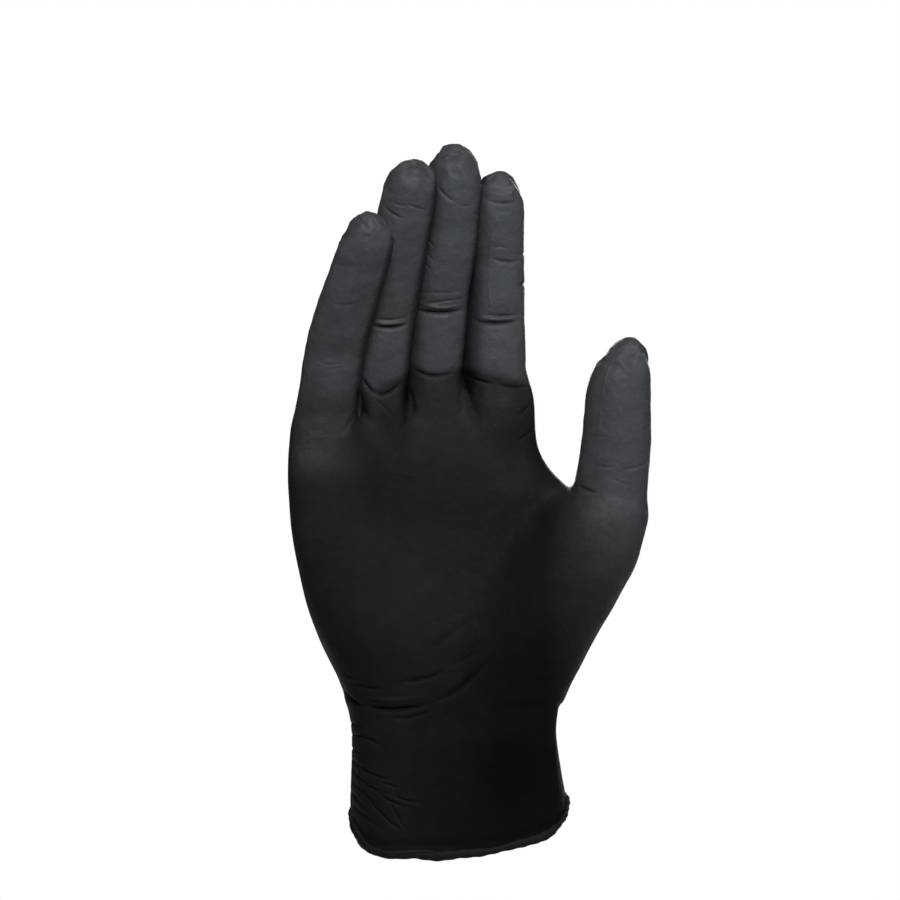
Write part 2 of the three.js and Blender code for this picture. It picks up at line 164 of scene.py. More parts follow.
LITTLE = dict(width=0.2575, depth=0.23, tip=0.194, rows=rows_of(
    "at across size lean",
    (0.5, -0.562, 0.72, 0.13),
    (0.558, -0.56, 0.97, 0.135),
    (0.625, -0.545, 1.0, 0.15),
    (0.692, -0.52, 1.0, 0.165),
    (0.759, -0.468, 0.99, 0.19),
    (0.821, -0.412, 0.95, 0.2),
    (0.862, -0.384, 0.9, 0.2),
    (0.898, -0.374, 0.87, 0.2),
))
THUMB = dict(width=0.2925, depth=0.2625, tip=0.25, rows=rows_of(
    "at across back wide deep",
    (0.16, 0.25, -0.2, 0.6, 0.8),
    (0.232, 0.29, -0.28, 1.35, 1.36),
    (0.29, 0.375, -0.34, 1.52, 1.56),
    (0.348, 0.461, -0.39, 1.6, 1.56),
    (0.379, 0.507, -0.41, 1.57, 1.48),
    (0.411, 0.553, -0.43, 1.43, 1.36),
    (0.438, 0.589, -0.44, 1.28, 1.24),
    (0.469, 0.621, -0.446, 1.12, 1.12),
    (0.5, 0.64, -0.456, 1.04, 1.05),
    (0.558, 0.659, -0.48, 1.0, 0.98),
    (0.589, 0.664, -0.49, 0.965, 0.95),
    (0.647, 0.674, -0.51, 0.905, 0.9),
    (0.711, 0.722, -0.53, 0.86, 0.86),
))
FINGERS = [INDEX, MIDDLE, RING, LITTLE]


def wrinkle(start, middle, end, press, wide):
    """A fold as seen from the front: (across, height) at its curve's start, middle and end, how far it
    presses in, below 0 where it stands proud, and its half width."""
    return dict(start=start, middle=middle, end=end, press=press, wide=wide)


INDEX_FOLDS = [
    wrinkle((8, 166.3), (15, 165.7), (22.3, 166.7), 0.59, 0.68),
    wrinkle((3.7, 164.3), (12.7, 163.2), (22.3, 164.3), 1.1, 0.85),
    wrinkle((5.7, 165.3), (13.3, 164.5), (20.7, 165.3), -0.42, 0.77),
    wrinkle((10.7, 185), (16.3, 183.7), (22.3, 184.3), 0.51, 0.68),
    wrinkle((11.3, 188), (14, 188.7), (17, 188), 0.34, 0.59),
    wrinkle((15, 200.7), (11.3, 192), (10, 179.3), -0.3, 0.59),
    wrinkle((10, 179.3), (10.3, 172.7), (11.3, 167.7), -0.21, 0.59),
    wrinkle((14.3, 203), (16.7, 203.7), (19.3, 203), 0.3, 0.51),
    wrinkle((18.3, 211), (18.3, 208.3), (17.7, 205.3), -0.51, 0.59),
    wrinkle((8, 204.7), (14, 203.3), (20.3, 203.7), 0.51, 0.68),
    wrinkle((8.3, 209.7), (10.7, 211.7), (13, 213), 0.34, 0.59),
    wrinkle((16, 209), (17.7, 210), (19, 211.7), 0.3, 0.51),
    wrinkle((2, 146.3), (7.3, 144), (12.3, 143), 0.77, 0.85),
    wrinkle((12.3, 143), (18, 142), (24.3, 142.3), 0.68, 0.77),
    wrinkle((20.3, 176.7), (21.7, 176.3), (23.3, 176.7), 0.59, 0.68),
    wrinkle((20.3, 186.3), (21.7, 186.3), (23.3, 186.7), 0.51, 0.68),
]
MIDDLE_FOLDS = [
    wrinkle((-15.3, 174), (-6, 173.3), (4, 174.3), 0.3, 0.59),
    wrinkle((-15, 171), (-6, 168.3), (3.3, 170), -0.47, 0.68),
    wrinkle((-14.7, 168.7), (-6, 170.3), (3, 171.3), 0.42, 0.59),
    wrinkle((-15.7, 168), (-6, 166.5), (3.7, 168), 1.19, 0.85),
    wrinkle((-16.7, 149), (-8.7, 145.7), (0.3, 147.3), 0.81, 0.85),
    wrinkle((-7.3, 209.7), (-4.3, 205.7), (0.3, 202.7), 0.42, 0.68),
    wrinkle((0.3, 202.7), (2.7, 202), (5.3, 202.3), 0.26, 0.59),
    wrinkle((4.7, 200.3), (6.3, 199.3), (8.3, 199), 0.34, 0.59),
    wrinkle((-5, 221), (-2, 219), (1.7, 220.3), 0.42, 0.59),
    wrinkle((-6, 217.7), (-4, 218.3), (-2, 220), -0.3, 0.51),
    wrinkle((-1, 222.3), (0.3, 220.7), (2.7, 219), 0.3, 0.51),
    wrinkle((-11.3, 192), (-9.3, 190), (-7.3, 187.7), 0.26, 0.51),
    wrinkle((-11.7, 187.7), (-9.7, 185.7), (-7.7, 183.7), 0.26, 0.51),
    wrinkle((-11.7, 183.7), (-10, 182), (-8.3, 180), 0.26, 0.51),
]
RING_FOLDS = [
    wrinkle((-29.7, 165), (-22.7, 164), (-15.7, 165.7), 0.38, 0.59),
    wrinkle((-29.7, 163.7), (-22.7, 162.7), (-15.7, 164.3), -0.42, 0.68),
    wrinkle((-30, 162.3), (-22.7, 161.5), (-15.7, 162.7), 1.1, 0.77),
    wrinkle((-17.3, 202.3), (-13.7, 201.3), (-9.3, 199.7), 0.42, 0.59),
    wrinkle((-25, 202), (-22, 199.3), (-17.3, 197.3), 0.51, 0.68),
    wrinkle((-22.7, 203.7), (-19.3, 202), (-16, 202.3), 0.3, 0.51),
    wrinkle((-32.7, 145.7), (-30, 141.7), (-27, 139.7), 0.77, 0.85),
    wrinkle((-28, 139.7), (-23, 140), (-17.7, 144), 0.85, 0.85),
    wrinkle((-19, 213.7), (-15.3, 215.3), (-11.3, 213.3), 0.34, 0.59),
    wrinkle((-12.7, 216), (-10, 213.7), (-8, 210), 0.42, 0.59),
    wrinkle((-18, 211), (-14.7, 212.3), (-11.3, 211), -0.26, 0.59),
    wrinkle((-27, 183.7), (-26.3, 178.7), (-28, 173.7), 0.21, 0.68),
]
LITTLE_FOLDS = [
    wrinkle((-47.3, 151), (-42.7, 149), (-37.7, 150.3), 0.26, 0.59),
    wrinkle((-47.7, 149), (-42, 148), (-35.3, 149), 0.21, 0.59),
    wrinkle((-35.3, 198.7), (-32.3, 197), (-30, 194), 0.34, 0.59),
    wrinkle((-31.7, 200), (-28.3, 197.7), (-26.3, 194), 0.3, 0.59),
    wrinkle((-33.7, 196.3), (-30.7, 195.7), (-28, 197), -0.26, 0.59),
    wrinkle((-42, 183.7), (-36, 181.3), (-28.7, 183.7), 0.17, 1.1),
    wrinkle((-44.3, 171), (-37.7, 169), (-30, 171), 0.19, 1.1),
]
THUMB_FOLDS = [
    wrinkle((51, 153.3), (53, 155.7), (55.7, 156), 0.36, 0.56),
    wrinkle((53.3, 153), (49.3, 146.7), (47.3, 137), -0.18, 0.56),
    wrinkle((47.3, 137), (47, 130.3), (46.7, 123), -0.15, 0.56),
    wrinkle((49.7, 149), (47.3, 141.3), (46.7, 132.3), 0.15, 0.48),
    wrinkle((59.3, 144), (62, 139.3), (63.7, 132.3), -0.21, 0.56),
    wrinkle((42, 125), (47.3, 125.3), (52.7, 124.7), 0.12, 0.72),
    wrinkle((54, 114.3), (59.3, 115.3), (64.3, 118), 0.3, 0.72),
    wrinkle((43.7, 116.3), (48.7, 115.3), (53.7, 115.7), 0.24, 0.64),
    wrinkle((50.3, 112), (54.7, 110), (59.3, 109), 0.21, 0.56),
    wrinkle((51, 106.3), (56.3, 104.3), (61.7, 103.7), 0.18, 0.56),
    wrinkle((39.3, 109.3), (42.7, 108), (47, 106.3), 0.72, 0.8),
    wrinkle((56.7, 156), (58.3, 152.3), (58.7, 147), 0.18, 0.56),
]
PALM_FOLDS = [
    wrinkle((-33.3, 141.7), (-32.3, 136.7), (-32.7, 131.3), 1.53, 1.1),
    wrinkle((-33.3, 132), (-36, 129.7), (-38.7, 125.7), 0.72, 0.94),
    wrinkle((-32.7, 134.7), (-29.7, 132), (-28.3, 127.7), 0.72, 0.85),
    wrinkle((-28.3, 138), (-24, 134.7), (-20.3, 129.3), 0.54, 0.77),
    wrinkle((-16.7, 142.3), (-15, 137), (-14.7, 129.7), 0.99, 0.85),
    wrinkle((-19, 143.3), (-16.3, 140), (-15, 136), 0.45, 0.68),
    wrinkle((1, 147), (2.7, 141.7), (5.7, 137.7), 0.9, 0.94),
    wrinkle((3, 141.7), (1.7, 136.7), (0.3, 131.7), 0.36, 0.85),
    wrinkle((24.3, 136), (21.7, 133.7), (18.7, 131), 0.72, 0.77),
    wrinkle((25, 127.3), (22.3, 125.7), (19.3, 123.3), 0.63, 0.77),
    wrinkle((-23, 115.3), (-18.7, 112.7), (-7, 112), -0.23, 0.42),
    wrinkle((32, 106.7), (44, 93), (48, 85), -0.27, 0.47),
    wrinkle((51.3, 99.7), (54.7, 93), (57.3, 86.3), -0.27, 0.42),
    wrinkle((54.3, 99.3), (58, 97.3), (61, 94), -0.23, 0.42),
    wrinkle((32, 67), (36, 60.3), (38.7, 52.7), -0.27, 0.47),
    wrinkle((40, 106.3), (48.7, 101), (56.7, 91), -0.2, 0.42),
    wrinkle((-10, 53.7), (0.7, 62), (13, 71), 0.32, 1.87),
    wrinkle((-5, 48), (7.3, 57.3), (19.7, 67.7), 0.27, 1.7),
    wrinkle((-18, 123.7), (-19.7, 119.3), (-22.3, 115.7), -0.18, 0.51),
]
WRIST_FOLDS = [
    wrinkle((-39, 42.7), (-35.3, 37.3), (-30, 35.7), 1.05, 0.94),
    wrinkle((-32, 36), (-21, 34.7), (-8, 37), 1.2, 1.01),
    wrinkle((-9.3, 36.7), (0.7, 42.3), (12.7, 54), 0.83, 1.15),
    wrinkle((-37.3, 40.3), (-22.7, 37.7), (-8.7, 40), -0.45, 0.86),
    wrinkle((-36, 43.3), (-30, 41.7), (-23.3, 41.7), 0.6, 0.86),
    wrinkle((-21.3, 43.7), (-11.3, 45), (-3, 48.7), 0.68, 0.94),
    wrinkle((-4.3, 48), (2.7, 52), (9.3, 56.7), 0.38, 1.01),
    wrinkle((-23.7, 32.3), (-15, 32.3), (-5.7, 36.7), 0.6, 0.79),
    wrinkle((-38.3, 47), (-35.3, 45), (-30.7, 44), 0.38, 0.72),
    wrinkle((-37.3, 30.3), (-34, 29.3), (-30, 28.7), 0.51, 0.58),
    wrinkle((-37.3, 26), (-30.7, 25), (-24.3, 21.7), 0.7, 0.58),
    wrinkle((-37, 21.7), (-34, 20.7), (-30.7, 18.7), 0.51, 0.58),
    wrinkle((-36.3, 18.7), (-29.3, 13.3), (-20.3, 11), 0.7, 0.58),
    wrinkle((-26, 10.3), (-22.3, 9.3), (-18.3, 8), 0.51, 0.5),
    wrinkle((-36, 15.7), (-30, 9.3), (-22, 6), 0.7, 0.58),
    wrinkle((-22.7, 6.3), (-17, 4.3), (-10.7, 3.3), 0.51, 0.5),
    wrinkle((-28, 7.7), (-21.7, 3.7), (-14, 1.7), 0.61, 0.5),
    wrinkle((-32.7, 8.3), (-25, -0.7), (-17, -7), 0.61, 0.5),
    wrinkle((-23.3, 5), (-20.3, -0.7), (-17, -6.3), 0.46, 0.5),
    wrinkle((-36.3, 12.3), (-30.7, 5.7), (-24.3, 1.7), 0.55, 0.5),
    wrinkle((-36.3, 8.3), (-32.7, 3), (-26.3, -2.3), 0.55, 0.5),
    wrinkle((-36.3, 4.3), (-30.7, -1.7), (-22, -7), 0.51, 0.5),
    wrinkle((32.3, 24.3), (30.7, 21.7), (27.3, 20.3), 0.3, 0.65),
    wrinkle((34, 12.7), (30, 11.7), (25.7, 12.3), 0.22, 0.65),
]

FINGER_FOLDS = [INDEX_FOLDS, MIDDLE_FOLDS, RING_FOLDS, LITTLE_FOLDS, THUMB_FOLDS]

# The four fingers touch, so the film is meshed with them apart and then closed up again. Each row is a gap
# between two fingers: the way one side moves, and the height where the gap starts.
GAPS = [
    dict(x=3.6, y=1.0, start=141.0),
    dict(x=-3.4, y=-1.8, start=135.0),
    dict(x=-3.0, y=-2.8, start=129.0),
]
GAP_LENGTH = 9.0
TIGHTNESS = 1.12  # the fingers press on each other a little
PARTING = 0.6  # how softly the film is shared out between two fingers

# The joints of each finger as shares of REACH, how deep the front's dent is at each, and where the creases
# lie round a joint on the back.
JOINTS = [
    (0.638, 0.738, 0.828),
    (0.656, 0.752, 0.87),
    (0.636, 0.728, 0.895),
    (0.595, 0.68, 0.81),
]
JOINT_DENTS = (0.5, 0.7, 0.45)
DENT_HEIGHT = 4.0
JOINT_CREASES = (-4.2, -2.2, 0.0, 2.3, 4.4)
CREASE_SHARE = 0.64  # depth of the creases as a share of the dent's
CREASE_WIDTH = 0.75
CREASE_BEND = 0.04
THUMB_JOINTS = (0.548, 0.6)
THUMB_CREASES = (-3.0, 0.0, 3.0)
THUMB_CREASE_DEPTH = 0.3
THUMB_CREASE_WIDTH = 0.8
TIP_RISE = 0.3  # the film stands off at the fingertips and crumples there
TIP_CRUMPLE = 0.8
NECK = dict(z=2.6, high=0.9, deep=0.4)  # above the bead, where the film is drawn in, with painted shade in the groove
# Film gathered on the back of the wrist and hand.
BACK_FOLDS = [
    wrinkle((-36, 44), (-6, 37), (34, 43), 0.9, 1.5),
    wrinkle((-30, 36), (2, 31), (30, 37), 0.7, 1.3),
    wrinkle((-36, 52), (-14, 47), (12, 49), 0.5, 1.4),
    wrinkle((-34, 27), (-12, 22), (8, 24), 0.5, 1.1),
    wrinkle((4, 20), (18, 17), (34, 22), 0.5, 1.1),
    wrinkle((-26, 12), (-8, 9), (10, 13), 0.45, 1),
    wrinkle((-48, 108), (-30, 101), (-12, 103), 0.3, 1.6),
    wrinkle((12, 116), (2, 126), (-2, 140), 0.4, 1.3),
    wrinkle((-14, 112), (-20, 122), (-22, 136), 0.4, 1.3),
    wrinkle((-34, 108), (-40, 118), (-42, 130), 0.4, 1.3),
    wrinkle((24, 112), (34, 104), (46, 100), 0.5, 1.2),
    wrinkle((22, 104), (33, 97), (44, 92), 0.4, 1.2),
]

# The crease at each finger's base: its lowest point, how steeply it climbs to both sides, and how soon the
# paler film starts above it, which is partly stretched film and partly painted light.
BASES = [
    dict(x=24.0, z=142.3, bend=0.22, over=3.5),
    dict(x=-6.5, z=145.2, bend=0.25, over=3.5),
    dict(x=-28.5, z=140.3, bend=0.4, over=3.5),
    dict(x=-36.0, z=128.0, bend=0.0, over=24.0),
]
# The middle of the painted shade in each web's pocket, and how wide and high that shade fades out.
WEB_SHADES = [
    dict(x=3.6, z=144.0),
    dict(x=-17.0, z=140.0),
    dict(x=-31.0, z=134.5),
]
WEB_SHADE_SIZE = (1.9, 5.0)
# Painted shade in the groove on each side of a finger, towards the next one in FINGERS or the one before:
# where it starts, in half widths of the finger, and how dark it gets.
GROOVE_SHADES = [
    {"other": 1, "from": 0.2, "deep": 1.0},
    {"other": -1, "from": 0.8, "deep": 0.75},
]
PALM_TONE = 0.07
BACK_TONE = 0.3
INNER_TONE = 0.26
ALL = (-1000.0, -999.0)
# Painted light on the palm: how much paler, and where that starts and is full, across and in height.
PALM_PAINTED_LIGHT = [
    dict(paler=0.11, x=(20.0, -30.0), z=(115.0, 85.0)),
    dict(paler=0.05, x=ALL, z=(40.0, 75.0)),
    dict(paler=0.04, x=ALL, z=(100.0, 122.0)),
    dict(paler=0.14, x=(-42.0, -30.0), z=(122.0, 143.0)),
]
# Painted light on the thumb side, over the ball of the thumb and the edge below it.
BALL_PAINTED_LIGHT = [
    dict(paler=0.4, x=(40.0, 58.0), z=(50.0, 95.0)),
    dict(paler=0.25, x=(27.0, 46.0), z=(15.0, 60.0)),
]
# A patch of painted shade over the wrist.
WRIST_SHADE = dict(x=19.0, z=15.0, wide=13.0, high=17.0, darker=0.75)

# Where each light stands, the height that it aims at, its sides, its watts and its spread in degrees.
LIGHTS = [
    dict(name="key", place=(0.12, -1.0, 0.85), aim=0.28, size=(0.5, 0.4), power=2.0, spread=40),
    dict(name="front", place=(-0.4, -1.7, 0.8), aim=0.16, size=(0.9, 0.9), power=0.8, spread=180),
    dict(name="right", place=(0.9, -0.45, 0.4), aim=0.16, size=(0.25, 0.7), power=0.65, spread=70),
    dict(name="left", place=(-1.0, -0.35, 0.45), aim=0.17, size=(0.3, 0.8), power=0.4, spread=70),
    dict(name="rear", place=(0.1, 1.4, 0.4), aim=0.12, size=(0.9, 0.6), power=17.0, spread=180),
]
FLOOR_HALF = 1.1
FLOOR_HEIGHT = -0.13
CAMERA_AWAY = 4.0
PALM_FRONT = 0.02  # how far in front of the origin the view's width is measured
VIEW_WIDTH = 0.3
VIEW_MIDDLE = (-0.00267, 0.121)
SENSOR = 36.0


def clamp(v, low, high):
    return np.minimum(np.maximum(v, low), high)


def smooth(v, low, high):
    t = clamp((v - low) / (high - low), 0.0, 1.0)
    return t * t * (3 - 2 * t)


def column(rows, name, at):
    """A column's value at a height, on a smooth curve through the rows."""
    xs = np.array([r["at"] for r in rows])
    ys = np.array([r[name] for r in rows])
    last = len(rows) - 1
    before = [max(i - 1, 0) for i in range(last + 1)]
    after = [min(i + 1, last) for i in range(last + 1)]
    slopes = (ys[after] - ys[before]) / (xs[after] - xs[before])
    fine = np.linspace(xs[0], xs[-1], 700)
    i = clamp(np.searchsorted(xs, fine, side="right") - 1, 0, last - 1).astype(int)
    span = xs[i + 1] - xs[i]
    t = clamp((fine - xs[i]) / span, 0.0, 1.0)
    curve = (
        (2 * t**3 - 3 * t**2 + 1) * ys[i]
        + (t**3 - 2 * t**2 + t) * span * slopes[i]
        + (3 * t**2 - 2 * t**3) * ys[i + 1]
        + (t**3 - t**2) * span * slopes[i + 1]
    )
    return np.interp(at, fine, curve)


def blended(one, other, over):
    mix = np.maximum(0.0, over - np.abs(one - other))
    return np.minimum(one, other) - mix * mix / (4 * over)


def reach_of(across, back, squareness):
    return (np.abs(across) ** squareness + np.abs(back) ** squareness) ** (1 / squareness)


def palm_back(x, level):
    """Where the palm's middle lies from front to back."""
    bow = column(PALM, "bow", level) * PALM_DEPTH
    bent = bow * ((x / PALM_WIDTH - HOLLOW_CENTRE) / BOW_REACH) ** 2
    return column(PALM, "back", level) * PALM_DEPTH - bent


def edge_slope(across, back):
    """How far the cuff's edge lies above the opening's middle, for a point on the unit rim."""
    rise = (CUFF_DROP + CUFF_RISE) / 2 * back - (CUFF_DROP - CUFF_RISE) / 2 * back**2
    return rise + CUFF_SLANT / 2 * across


def palm_height(x, y, z):
    """A point's height by the palm's sections, which slant at the cuff and drop at the little finger."""
    across = clamp((x - OPENING_MIDDLE) / (OPENING_SHARE * PALM_WIDTH), -1.0, 1.0)
    drop = WEB_DROP * (1 - smooth(x / PALM_WIDTH, *WEB_DROP_SPAN))
    height = np.broadcast_to(z, np.broadcast(x, y, z).shape)
    for _ in range(14):
        low = clamp(height, 0.0, CUFF_LEAN_TOP)
        back = clamp((y + CUFF_LEAN * low) / (PALM_DEPTH / 2 - CUFF_TAPER * low), -1.0, 1.0)
        slope = edge_slope(across, back)
        cuff = clamp(1 - height / CUFF_LENGTH, 0.0, 1.0) ** 2
        web = np.maximum(0.0, (height / WEB_HEIGHT - WEB_DROP_START) / (1 - WEB_DROP_START))
        height = 0.5 * height + 0.5 * (z - slope * cuff + drop * web)
    return height


def heel_field(x, y, height, grow):
    """Palm and the mound along its little-finger side."""
    level = height / WEB_HEIGHT
    left = column(PALM, "left", level) * PALM_WIDTH
    right = column(PALM, "right", level) * PALM_WIDTH
    deep = column(PALM, "deep", level) * PALM_DEPTH + grow
    wide = (right - left) / 2 + grow
    unbent = y - palm_back(x, level)
    palm = (reach_of((x - (left + right) / 2) / wide, unbent / deep, PALM_SQUARENESS) - 1) * deep
    across = x - column(MOUND, "across", level) * PALM_WIDTH
    back = y - column(MOUND, "back", level) * PALM_DEPTH
    wide = column(MOUND, "wide", level) * PALM_WIDTH + grow
    deep = column(MOUND, "deep", level) * PALM_DEPTH + grow
    mound = (reach_of(across / wide, back / deep, FINGER_SQUARENESS) - 1) * deep
    heel = blended(palm, mound, MOUND_BLEND)
    return -blended(-heel, -(height - WEB_HEIGHT - HEEL_OVERRUN - grow), HEEL_ROUNDING)


def back_of(finger, z):
    at = z / REACH
    if "back" in finger["rows"][0]:
        return column(finger["rows"], "back", at) * PALM_DEPTH
    before = FINGERS[FINGERS.index(finger) - 1]
    return back_of(before, z) - column(finger["rows"], "lean", at) * PALM_WIDTH


def section(finger, z):
    """Centre and half sizes of a finger at a height."""
    at = z / REACH
    thumb = finger is THUMB
    wide = finger["width"] / 2 * PALM_WIDTH * column(finger["rows"], "wide" if thumb else "size", at)
    deep = finger["depth"] / 2 * PALM_WIDTH * column(finger["rows"], "deep" if thumb else "size", at)
    return column(finger["rows"], "across", at) * PALM_WIDTH, back_of(finger, z), wide, deep


def finger_field(finger, x, y, z, grow):
    """Distance outside a finger, whose tip rounds off."""
    cx, cy, wide, deep = section(finger, z)
    wide, deep = wide + grow, deep + grow
    top = finger["rows"][-1]["at"] * REACH + grow
    tip = finger["tip"] * PALM_WIDTH
    over = np.maximum(0.0, (z - top) / tip + 1)
    u, v = np.abs(x - cx) / wide, np.abs(y - cy) / deep
    n = FINGER_SQUARENESS
    out = np.maximum((u**n + v**n) ** (1 / n), 1e-3)
    full = np.sqrt(out * out + over**TIP_SQUARENESS)
    steep_u = (u / out) ** (n - 1) / wide
    steep_v = (v / out) ** (n - 1) / deep
    steep_tip = TIP_SQUARENESS / 2 * over ** (TIP_SQUARENESS - 1) / tip
    steep = np.sqrt(out**2 * (steep_u**2 + steep_v**2) + steep_tip**2) / full
    body = (full - 1) / np.maximum(steep, 0.02)
    foot = finger["rows"][0]["at"] * REACH
    return np.maximum(body, foot - z)


def shifts(z):
    """How far each finger stands away from the middle one while the film is meshed."""
    opened = [smooth(z, g["start"], g["start"] + GAP_LENGTH) for g in GAPS]
    first = [GAPS[0]["x"] * opened[0], GAPS[0]["y"] * opened[0]]
    third = [GAPS[1]["x"] * opened[1], GAPS[1]["y"] * opened[1]]
    fourth = [third[0] + GAPS[2]["x"] * opened[2], third[1] + GAPS[2]["y"] * opened[2]]
    return [first, [0.0 * z, 0.0 * z], third, fourth]


def levels(wanted):
    """The run of the grid's levels that are wanted."""
    found = np.nonzero(wanted.ravel())[0]
    return slice(found[0], found[-1] + 1)


def film_field(x, y, z, grow):
    """The whole glove's outside with its fingers apart: 0 on the film, below 0 in the hand."""
    full = np.full(np.broadcast(x, y, z).shape, FAR, np.float32)
    palm = levels(z < HEEL_TOP)
    full[:, :, palm] = heel_field(x, y, palm_height(x, y, z[:, :, palm]), grow)
    foot = THUMB["rows"][0]["at"] * REACH
    side = levels((z > foot) & (z < THUMB_TOP))
    zt = z[:, :, side]
    ball = -blended(-finger_field(THUMB, x, y, zt, grow), zt - foot - 2.0, THUMB_FOOT_ROUNDING)
    over = THUMB_BLEND - (THUMB_BLEND - TIP_BLEND) * smooth(zt, THUMB_PARTING + 6, THUMB_PARTING + 20)
    full[:, :, side] = blended(full[:, :, side], ball, over)
    upper = levels(z > FINGERS_FROM)
    zu = z[:, :, upper]
    each = [finger_field(f, x - sx, y - sy, zu, grow) for f, (sx, sy) in zip(FINGERS, shifts(zu))]
    full[:, :, upper] = blended(full[:, :, upper], np.minimum.reduce(each), FINGER_BLEND)
    return full


def grid(cell):
    low = np.array([-66.0, -64.0, -19.0])
    high = np.array([70.0, 29.0, 227.0])
    count = np.ceil((high - low) / cell).astype(int)
    axes = [low[i] + cell * np.arange(count[i]) for i in range(3)]
    return low, axes[0][:, None, None], axes[1][None, :, None], axes[2][None, None, :]


def film_mesh(values, low, cell):
    """One face point for each cell that the film crosses, and one four-sided face for each crossed edge."""
    inside = values < 0
    shape = np.array(values.shape) - 1
    corners = [(i, j, k) for i in (0, 1) for j in (0, 1) for k in (0, 1)]
    total = np.zeros(shape, np.int8)
    for i, j, k in corners:
        total += inside[i : i + shape[0], j : j + shape[1], k : k + shape[2]]
    cells = np.argwhere((total > 0) & (total < 8))
    number = np.full(shape, -1, np.int64)
    number[tuple(cells.T)] = np.arange(len(cells))
    at = {c: values[tuple((cells + c).T)].astype(float) for c in corners}
    point, met = np.zeros((len(cells), 3)), np.zeros(len(cells))
    for c in corners:
        for axis in range(3):
            if c[axis] == 1:
                continue
            d = tuple(1 if n == axis else c[n] for n in range(3))
            crossed = (at[c] < 0) != (at[d] < 0)
            t = np.where(crossed, at[c] / np.where(crossed, at[c] - at[d], 1.0), 0.0)
            here = np.array(c, float)[None, :] + t[:, None] * np.eye(3)[axis]
            point += np.where(crossed[:, None], here, 0.0)
            met += crossed
    points = low + cell * (cells + point / met[:, None])
    faces = []
    for axis in range(3):
        one, two = (axis + 1) % 3, (axis + 2) % 3
        near = np.take(inside, range(0, values.shape[axis] - 1), axis)
        far = np.take(inside, range(1, values.shape[axis]), axis)
        edges = np.argwhere(near != far)
        for side in (one, two):
            edges = edges[(edges[:, side] > 0) & (edges[:, side] < shape[side])]
        ring = []
        for a, b in ((1, 1), (0, 1), (0, 0), (1, 0)):
            c = edges.copy()
            c[:, one] -= a
            c[:, two] -= b
            ring.append(number[tuple(c.T)])
        ring = np.stack(ring, 1)
        leaving = near[tuple(edges.T)]
        ring[~leaving] = ring[~leaving][:, ::-1]
        faces.append(ring)
    return points, np.concatenate(faces)


def sampled(values, low, cell, points):
    """The field and its slope at points between the grid's."""
    p = (points - low) / cell
    i = clamp(np.floor(p), 0, np.array(values.shape) - 2).astype(int)
    f = p - i
    total = np.zeros(len(points))
    slope = np.zeros((len(points), 3))
    for c in [(a, b, d) for a in (0, 1) for b in (0, 1) for d in (0, 1)]:
        v = values[i[:, 0] + c[0], i[:, 1] + c[1], i[:, 2] + c[2]].astype(float)
        w = [f[:, n] if c[n] else 1 - f[:, n] for n in range(3)]
        total += v * w[0] * w[1] * w[2]
        for n in range(3):
            rest = w[(n + 1) % 3] * w[(n + 2) % 3]
            slope[:, n] += v * rest * (1 if c[n] else -1)
    return total, slope / cell


def neighbours_mean(points, faces):
    """The mean of the corners next to each point in its faces."""
    total = np.zeros_like(points)
    count = np.bincount(faces.ravel(), minlength=len(points)).astype(float) * 2
    for a in range(4):
        for b in ((a + 1) % 4, (a + 3) % 4):
            for n in range(3):
                total[:, n] += np.bincount(faces[:, a], points[faces[:, b], n], minlength=len(points))
    return total / np.maximum(count, 1)[:, None]


def on_film(points, values, low, cell, rounds):
    """The points moved along the field's slope on to the film."""
    for _ in range(rounds):
        off, slope = sampled(values, low, cell, points)
        size = np.maximum((slope**2).sum(1), 0.05)
        step = np.clip(off / size, -cell, cell)
        points = points - step[:, None] * slope
    return points


def settled(points, faces, values, low, cell):
    """The face points evened out along the film and set back on it."""
    for _ in range(4):
        points = points + 0.6 * (neighbours_mean(points, faces) - points)
        points = on_film(points, values, low, cell, 2)
    return points


def closed_up(points):
    """The fingers moved back together."""
    x, y, z = points.T
    moves = shifts(z)
    away = [finger_field(f, x - sx, y - sy, z, 0.0) for f, (sx, sy) in zip(FINGERS, moves)]
    away.append(finger_field(THUMB, x, y, z, 0.0))
    weight = np.exp(-(np.stack(away) - np.min(away, 0)) / PARTING)
    weight /= weight.sum(0)
    back = points.copy()
    for w, (sx, sy) in zip(weight, moves):
        back[:, 0] -= w * sx * TIGHTNESS
        back[:, 1] -= w * sy * TIGHTNESS
    nearest = np.argmin(away[:4], 0)
    return back, nearest


def cut_at_cuff(points, faces):
    """The film above the cuff's edge, its lowest points set on the edge."""
    height = palm_height(*points.T)
    below = height < 0
    faces = faces[~below[faces].all(1)]
    used = np.unique(faces)
    number = np.full(len(points), -1)
    number[used] = np.arange(len(used))
    points = points.copy()
    points[below, 2] -= height[below]
    return points[used], number[faces], used


def normals_of(points, faces):
    each = np.cross(points[faces[:, 1]] - points[faces[:, 0]], points[faces[:, 2]] - points[faces[:, 0]])
    total = np.zeros_like(points)
    for a in range(3):
        for n in range(3):
            total[:, n] += np.bincount(faces[:, a], each[:, n], minlength=len(points))
    return total / np.maximum(np.linalg.norm(total, axis=1), 1e-9)[:, None]


